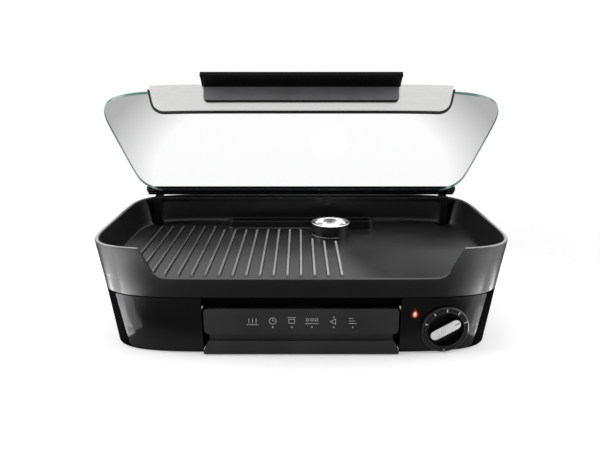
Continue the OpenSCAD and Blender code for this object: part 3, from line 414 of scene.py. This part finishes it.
# ---------- pieces ----------
def finish_piece(name, bm, body, material, replaces=(), smooth=35.0, normals=True):
    """Mesh to object: smooth inside an angle, sharp past it, riding on its body."""
    if normals:
        bmesh.ops.recalc_face_normals(bm, faces=bm.faces)
    limit = math.radians(smooth)
    for f in bm.faces:
        f.smooth = True
    for e in bm.edges:
        e.smooth = len(e.link_faces) == 2 and e.calc_face_angle(0.0) < limit
    me = bpy.data.meshes.new(name)
    bm.to_mesh(me)
    bm.free()
    obj = bpy.data.objects.new(name, me)
    scene.collection.objects.link(obj)
    for m in (material if isinstance(material, (list, tuple)) else [material]):
        me.materials.append(m)
    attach(obj, body)
    if replaces:
        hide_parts(*replaces)
    return obj


def smooth_copy(node, material=None, sort=None):
    """A merged copy of a CAD node, smooth where it is curved; sort gives a face's material."""
    bm = bmesh.new()
    bm.from_mesh(NODES[node].data)
    bmesh.ops.remove_doubles(bm, verts=bm.verts, dist=0.000004)
    for f in bm.faces:
        f.material_index = sort(f) if sort else 0
    slot = SLOT_OF[node]
    return finish_piece("show_" + node, bm, BODY_OF[node], material or LOOK[slot], [node],
                        smooth=28.0, normals=False)


def flat(point):
    """Y and Z in mm of a point of the lid, as if the lid lay flat."""
    y, z = point[1] / MM - HINGE_Y, point[2] / MM - HINGE_Z
    c, s = math.cos(LID_OPEN), math.sin(LID_OPEN)
    return HINGE_Y + y * c - z * s, HINGE_Z + y * s + z * c


def face_of_flange(face):
    """Second material, a painted sheen of lighter grey, on the front of the handle's flange, below its
    ledge.
    """
    front = face.normal.y * math.cos(LID_OPEN) - face.normal.z * math.sin(LID_OPEN)
    return 1 if front < -0.7 and flat(face.calc_center_median())[1] < HANDLE_UNDER else 0


def edge_of_glass(face):
    """Second material on the rim of the glass."""
    up = Vector((0, math.sin(LID_OPEN), math.cos(LID_OPEN)))
    return 0 if abs(face.normal.dot(up)) > 0.7 else 1


HANDLE_UNDER = max(flat(v.co)[1] for v in NODES["lid_handle"].data.vertices) - LEDGE_T
# Nodes that don't show their slot's material alone, among them the handle's flange with a painted sheen and
# the tray's rails in painted shade
OTHER_LOOK = {
    "lid_glass": ([GLASS, EDGE], edge_of_glass), "lid_handle": ([HANDLE, FLANGE_SHEEN], face_of_flange),
    "tray_front": (TRAY, None), "tray_rails": (SHADOW, None),
}

for node, obj in NODES.items():
    obj.data.materials.clear()
    obj.data.materials.append(LOOK[SLOT_OF[node]])
    if node != "infuser_cup":  # the cup has a skin of its own below
        smooth_copy(node, *OTHER_LOOK.get(node, ()))

# Frames of the knob and of the tray's face: Z points out and Y points up
KNOB_TURN = next(j for j in frame["record"]["behaviour"]["joints"] if j["name"] == "knob_turn")
axis = Vector(KNOB_TURN["axis"])
KNOB_FRAME = (Matrix.Translation(KNOB_TURN["pos_m"]) @ Matrix.Rotation(math.atan2(-axis.x, axis.y), 4, "Z")
              @ Matrix.Rotation(math.radians(90) + LEAN, 4, "X"))
GRIP_FRAME = KNOB_FRAME @ Matrix.Rotation(-KNOB_ANGLE, 4, "Z")
TRAY_FRAME = Matrix.Translation((0, -TRAY_FACE * MM, 0)) @ Matrix.Rotation(math.radians(90), 4, "X")
IN_PLACE = Matrix.Identity(4)


def faces_at(verts):
    """Faces that hold the points, each once."""
    return list(dict.fromkeys(f for v in verts for f in v.link_faces))


def thicken(bm, faces, height):
    """Flat faces drawn up into a plate of the given height, closed below."""
    made = bmesh.ops.extrude_face_region(bm, geom=faces, use_keep_orig=True)
    top = [v for v in made["geom"] if isinstance(v, bmesh.types.BMVert)]
    bmesh.ops.translate(bm, verts=top, vec=(0, 0, height))


def bar(bm, x0, y0, x1, y1, width, z, height=PRINT_T):
    """Straight stroke between two points."""
    a, b = Vector((x0, y0, 0)), Vector((x1, y1, 0))
    turn = math.atan2(b.y - a.y, b.x - a.x)
    place = Matrix.Translation(((x0 + x1) / 2, (y0 + y1) / 2, z)) @ Matrix.Rotation(turn, 4, "Z")
    grid = bmesh.ops.create_grid(bm, x_segments=1, y_segments=1, size=0.5)
    size = Matrix.Diagonal(((b - a).length, width, 1, 1))
    bmesh.ops.transform(bm, verts=grid["verts"], matrix=place @ size)
    thicken(bm, faces_at(grid["verts"]), height)


def open_ring(bm, verts, width, height, even=True):
    """Plate of the given height along the outline that the points make, open inside."""
    face = verts[0].link_faces[0]
    bmesh.ops.inset_individual(bm, faces=[face], thickness=width, use_even_offset=even)
    ring = [f for f in faces_at(verts) if f is not face]
    bmesh.ops.delete(bm, geom=[face], context="FACES_ONLY")
    thicken(bm, ring, height)


def hoop(bm, x, y, r, width, z, segments=32, stretch=1.0, start=0.0):
    """Round or cornered ring, as an outline of the given width."""
    made = bmesh.ops.create_circle(bm, cap_ends=True, radius=r, segments=segments)
    turn = Matrix.Diagonal((1, stretch, 1, 1)) @ Matrix.Rotation(start, 4, "Z")
    bmesh.ops.transform(bm, verts=made["verts"], matrix=Matrix.Translation((x, y, z)) @ turn)
    open_ring(bm, made["verts"], width, PRINT_T)


def disc(bm, x, y, r, z, segments=24):
    """Round dot."""
    made = bmesh.ops.create_circle(bm, cap_ends=True, radius=r, segments=segments)
    bmesh.ops.translate(bm, verts=made["verts"], vec=(x, y, z))
    thicken(bm, faces_at(made["verts"]), PRINT_T)


def in_order(parts, place):
    """Points or faces put in the order of their places, since an extrusion leaves them in any order."""
    ranks = {part: i for i, part in enumerate(sorted(parts, key=place))}
    parts.sort(key=ranks.get)


def print_piece(name, draw, place, body, material):
    """Skin, or thin raised marks and painted highlight lines, drawn in mm in the frame that carries them.
    """
    bm = bmesh.new()
    draw(bm)
    bmesh.ops.transform(bm, verts=bm.verts, matrix=place @ Matrix.Scale(MM, 4))
    in_order(bm.verts, lambda v: v.co[:])
    in_order(bm.faces, lambda f: f.calc_center_median()[:])
    return finish_piece(name, bm, body, material)


def turned(bm, profile, x, y, z):
    """Skin turned about Z from its profile of radii and heights in mm."""
    made = bmesh.ops.create_circle(bm, cap_ends=False, radius=profile[0][0], segments=96)
    ring = made["verts"]
    edges = list(dict.fromkeys(e for v in ring for e in v.link_edges))
    bmesh.ops.translate(bm, verts=ring, vec=(x, y, z + profile[0][1]))
    for r, h in profile[1:]:
        made = bmesh.ops.extrude_edge_only(bm, edges=edges)
        ring = [v for v in made["geom"] if isinstance(v, bmesh.types.BMVert)]
        edges = [e for e in made["geom"] if isinstance(e, bmesh.types.BMEdge)]
        for v in ring:
            out = Vector((v.co.x - x, v.co.y - y)).normalized() * r
            v.co = (x + out.x, y + out.y, z + h)


def cup_skin(bm):
    """Bowl with a rolled rim, closed under its floor: up its inside, over its rim, and down its outside."""
    inside = [(0.02, -BOWL + 0.8), (CUP_IN - 8.4, -BOWL + 0.8), (CUP_IN - 5, -BOWL + 1.5),
              (CUP_IN - 3.2, -BOWL + 3.2), (CUP_IN - 1.9, -1.8), (CUP_IN - 1.2, -0.5)]
    rim = [(CUP_IN, 0.1), (CUP_IN + 1.6, 0.45), (CUP_R - 1.8, 0.45), (CUP_R - 0.5, 0.1),
           (CUP_R + 0.1, -0.35), (CUP_R + 0.05, -0.78), (CUP_IN + 0.1, -0.82)]
    outside = [(CUP_IN - 1.9, -BOWL + 2.4), (CUP_IN - 5.9, -BOWL - 0.05), (0.02, -BOWL - 0.05)]
    turned(bm, inside + rim + outside, CUP_X, CUP_Y, CUP_TOP)


def collar_skin(bm):
    """Round outside of the collar, just over the cast wall."""
    low = PLATE_Z - CUP_TOP + 0.4
    wall = [(CUP_R - 3, -1.05), (CUP_R - 1.5, -1.02), (CUP_R - 0.9, -1.5), (CUP_R - 0.87, low),
            (CUP_R - 3, low)]
    turned(bm, wall, CUP_X, CUP_Y, CUP_TOP)


def dial_ticks(bm):
    """Ticks over the knob and a dot under it."""
    inner, outer = 25.5, 29.2
    for angle in (-70, -35, 0, 35, 70):
        s, c = math.sin(math.radians(angle)), math.cos(math.radians(angle))
        bar(bm, inner * s, inner * c, outer * s, outer * c, 1.3, DIAL_UP - SINK)
    disc(bm, 0, -28.6, 1.2, DIAL_UP - SINK)


def grip_pointer(bm):
    """Dark line on the far end of the grip."""
    bar(bm, 0, GRIP_L / 2 - 8.6, 0, GRIP_L / 2 - 2.2, 0.9, GRIP_TOP - 0.5, 0.53)


def grip_foot(bm):
    """Fine bead round the foot of the grip, pale as a painted highlight."""
    r = GRIP_W / 2 + 0.9
    made = bmesh.ops.create_circle(bm, cap_ends=True, radius=r, segments=48)
    for v in made["verts"]:
        v.co.y += math.copysign(GRIP_L / 2 - GRIP_W / 2 - 0.2, v.co.y)
        v.co.z = KNOB_TOP - SINK
    open_ring(bm, made["verts"], 0.7, BEAD_T, even=False)


def disc_ring_and_highlight(bm):
    """Small ring below the grip, and a thin painted highlight round the disc."""
    hoop(bm, 0, -14.6, 1.3, 0.4, KNOB_TOP - SINK, 24)
    hoop(bm, 0, 0, 22.3, 0.45, KNOB_TOP - SINK, 64)


def dial_edge_highlights(bm):
    """Painted highlights: fine pale lines along the edges of the dial."""
    hoop(bm, 0, 0, DIAL_R - 0.35, 0.5, DIAL_UP - SINK, 72)
    hoop(bm, 0, 0, RECESS_R + 0.75, 0.45, DIAL_UP - SINK, 72)


def tray_symbols(bm):
    """Plain symbols of heat, tray, time and cooking places, in one row."""
    y, z, w = 46.0, -SINK, 0.55
    for x in (-66, -61.5, -57):
        bar(bm, x, y - 3, x, y + 3.5, w, z)
    bar(bm, -69, y - 5, -54, y - 5, w, z)
    hoop(bm, -36, y, 4.6, w, z)
    bar(bm, -36, y, -36, y + 3.2, w, z)
    bar(bm, -36, y, -33.6, y, w, z)
    hoop(bm, -12, y - 0.4, 5.6, w, z, 4, stretch=0.75, start=math.radians(45))
    bar(bm, -17, y + 4.6, -7, y + 4.6, w, z)
    for x in (8, 13.5, 19):
        hoop(bm, x, y + 1.6, 2.1, w, z, 20)
    bar(bm, 5, y - 3.6, 22, y - 3.6, w, z)
    hoop(bm, 41, y - 0.8, 4.8, w, z, 3, start=math.radians(90))
    disc(bm, 41, y + 5.2, 0.8, z, 12)
    for i in range(3):
        bar(bm, 60, y - 3.4 + 3.4 * i, 70 - 2.2 * i, y - 3.4 + 3.4 * i, w, z)
    for x in (-36, -12, 13.5, 41, 65):
        disc(bm, x, y - 8.4, 0.9, z, 16)


# Place and size of the cup, in mm, from its node
cup_at = [[v.co[i] / MM for v in NODES["infuser_cup"].data.vertices] for i in range(3)]
CUP_X, CUP_Y = ((min(c) + max(c)) / 2 for c in cup_at[:2])
CUP_TOP, BOWL = max(cup_at[2]), max(cup_at[2]) - min(cup_at[2])
CUP_R = (max(cup_at[0]) - min(cup_at[0])) / 2
CUP_IN = CUP_R - CUP_RIM
cup_show = print_piece("infuser_cup_show", cup_skin, IN_PLACE, "cup", CUP)
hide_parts("infuser_cup")
print_piece("collar_skin", collar_skin, IN_PLACE, "cooking_plate", CAST)
print_piece("dial_ticks", dial_ticks, KNOB_FRAME, "base", PRINT)
print_piece("grip_pointer", grip_pointer, GRIP_FRAME, "control_knob", DARK)
print_piece("grip_foot", grip_foot, GRIP_FRAME, "control_knob", FAINT_HIGHLIGHT_AND_MARK)
print_piece("dial_edge_highlights", dial_edge_highlights, KNOB_FRAME, "base", FAINT_HIGHLIGHT_AND_MARK)
print_piece("disc_ring_and_highlight", disc_ring_and_highlight, KNOB_FRAME, "control_knob", FAINT_HIGHLIGHT_AND_MARK)
print_piece("tray_symbols", tray_symbols, TRAY_FRAME, "drip_tray", PRINT)

# ---------- stage ----------
floor_bm = bmesh.new()
bmesh.ops.create_grid(floor_bm, x_segments=1, y_segments=1, size=8.0)
floor_me = bpy.data.meshes.new("floor")
floor_bm.to_mesh(floor_me)
floor_bm.free()
floor = bpy.data.objects.new("floor", floor_me)
scene.collection.objects.link(floor)

# Near the grill the floor takes its shadow, and far off it is plain white. Glossy rays find it dark before
# the middle of the front and behind the sides, so that the gloss panels and the plate's corners stay dark
NEAR_EDGE, FAR_EDGE = 0.45, 0.85
PALE_TONE, DARK_TONE, CAMERA_LIFT = 0.86, 0.12, 0.34
MIDDLE_X, MIDDLE_Y = (0.26, 0.36), (-0.2, -0.1)
FLAG_X, FLAG_EDGE, FLAG_END = (0.2, 0.25), (-0.035, 0.01), (0.7, 0.9)
SLANT_X, SLANT_Y = (0.26, 1.0), (-0.1, 0.3773)
fm = Mat("floor")
fm.put("Roughness", 1.0)
fm.put("Specular IOR Level", 0.0)
away = fm.add("ShaderNodeVectorMath", operation="LENGTH")
fm.link(fm.mapped((1.0, 1.3, 1.0)), away.inputs[0])
far_off = fm.span(away.outputs["Value"], 0.0, 1.0, NEAR_EDGE, FAR_EDGE)
rays = fm.add("ShaderNodeLightPath").outputs
glossy_ray = rays["Is Glossy Ray"]
by_surface = fm.math("MAXIMUM", glossy_ray, rays["Is Transmission Ray"])
white = fm.product(far_off, fm.math("MAXIMUM", rays["Is Camera Ray"], by_surface))
fx, fy, _ = fm.axes()
aside = fm.math("ABSOLUTE", fx)
middle = fm.product(fm.span(aside, 1.0, 0.0, *MIDDLE_X), fm.span(fy, 1.0, 0.0, *MIDDLE_Y))
slant = fm.math("SUBTRACT", fy, fm.span(aside, *SLANT_Y, *SLANT_X))
flag = fm.product(fm.span(aside, 0.0, 1.0, *FLAG_X), fm.span(slant, 0.0, 1.0, *FLAG_EDGE),
                  fm.span(fy, 1.0, 0.0, *FLAG_END), glossy_ray)
open_floor = fm.math("SUBTRACT", 1.0, flag)
pale = fm.product(fm.span(fm.product(middle, glossy_ray), PALE_TONE, DARK_TONE), open_floor)
fm.put("Base Color", fm.mix(white, pale, 0.0))
fm.put("Emission Color", (1, 1, 1, 1))
lift = fm.product(rays["Is Camera Ray"], CAMERA_LIFT)
fm.put("Emission Strength", fm.math("MAXIMUM", lift, fm.product(white, open_floor)))
floor.data.materials.append(fm.m)

world = bpy.data.worlds.new("world")
scene.world = world
world.use_nodes = True
wt = world.node_tree
bg = wt.nodes["Background"]
bg.inputs["Color"].default_value = (1, 1, 1, 1)


def world_node(kind, operation=None, links=(), values=()):
    """A node of the world with its inputs linked or set by their numbers."""
    n = wt.nodes.new(kind)
    if operation:
        n.operation = operation
    for i, v in values:
        n.inputs[i].default_value = v
    for i, v in links:
        wt.links.new(v, n.inputs[i])
    return n.outputs[0]


# Bright above and behind, dim low in front, as in a studio with a dark floor before the set
BRIGHT_SIDE = (0.0, 0.62, 0.78)
path = wt.nodes.new("ShaderNodeLightPath").outputs
direction = wt.nodes.new("ShaderNodeTexCoord").outputs["Generated"]
tilt = wt.nodes.new("ShaderNodeVectorMath")
tilt.operation = "DOT_PRODUCT"
tilt.inputs[1].default_value = BRIGHT_SIDE
wt.links.new(direction, tilt.inputs[0])
sky = world_node("ShaderNodeMapRange", links=[(0, tilt.outputs["Value"])],
                 values=[(1, -0.28), (2, 0.35), (3, 0.055), (4, 1.0)])
by_gloss = [(0, path["Is Glossy Ray"]), (1, path["Is Transmission Ray"])]
glossy = world_node("ShaderNodeMath", "MAXIMUM", by_gloss)
share = world_node("ShaderNodeMapRange", links=[(0, glossy)], values=[(3, 0.5), (4, 1.0)])
lit = world_node("ShaderNodeMath", "MULTIPLY", [(0, sky), (1, share)])
full = world_node("ShaderNodeMath", "MAXIMUM", [(0, lit), (1, path["Is Camera Ray"])])
wt.links.new(full, bg.inputs["Strength"])


def softbox(name, place, target, size, watts):
    """Area light that looks at its target and is hidden from the camera."""
    data = bpy.data.lights.new(name, "AREA")
    data.shape = "RECTANGLE"
    data.size, data.size_y = size
    data.energy = watts
    obj = bpy.data.objects.new(name, data)
    obj.location = place
    obj.rotation_euler = (Vector(target) - Vector(place)).to_track_quat("-Z", "Y").to_euler()
    obj.visible_camera = False
    scene.collection.objects.link(obj)
    return obj


softbox("light_top", (0, 0.25, 1.6), (0, 0, 0.1), (1.8, 1.0), 11)
softbox("light_left", (-1.25, -0.15, 0.5), (-0.2, 0, 0.08), (0.8, 1.4), 14)
softbox("light_right", (1.25, -0.15, 0.5), (0.2, 0, 0.08), (0.8, 1.4), 10)


def card(name, x, y, size, turn, radiance):
    """Lamp that lies beside the grill, once on each side, for its rounded corners to reflect."""
    for side, word in ((-1, "left"), (1, "right")):
        watts = radiance[side > 0] * math.pi * size[0] * size[1]
        obj = softbox(name + word, (side * x, y, 0.001), (side * x, y, 1.0), size, watts)
        obj.rotation_euler = (math.pi, 0.0, side * math.radians(turn))


# Turns in degrees, and radiance on the left and on the right
card("wide_", 0.44, -0.195, (0.22, 0.29), 0, (2.4, 0.6))
card("near_", 0.352, -0.1, (0.2, 0.05), 8, (9.0, 12.0))
card("fade_", 0.342, -0.149, (0.19, 0.045), -10, (4.2, 2.2))
card("tail_", 0.325, -0.195, (0.17, 0.045), -26, (1.3, 0.6))
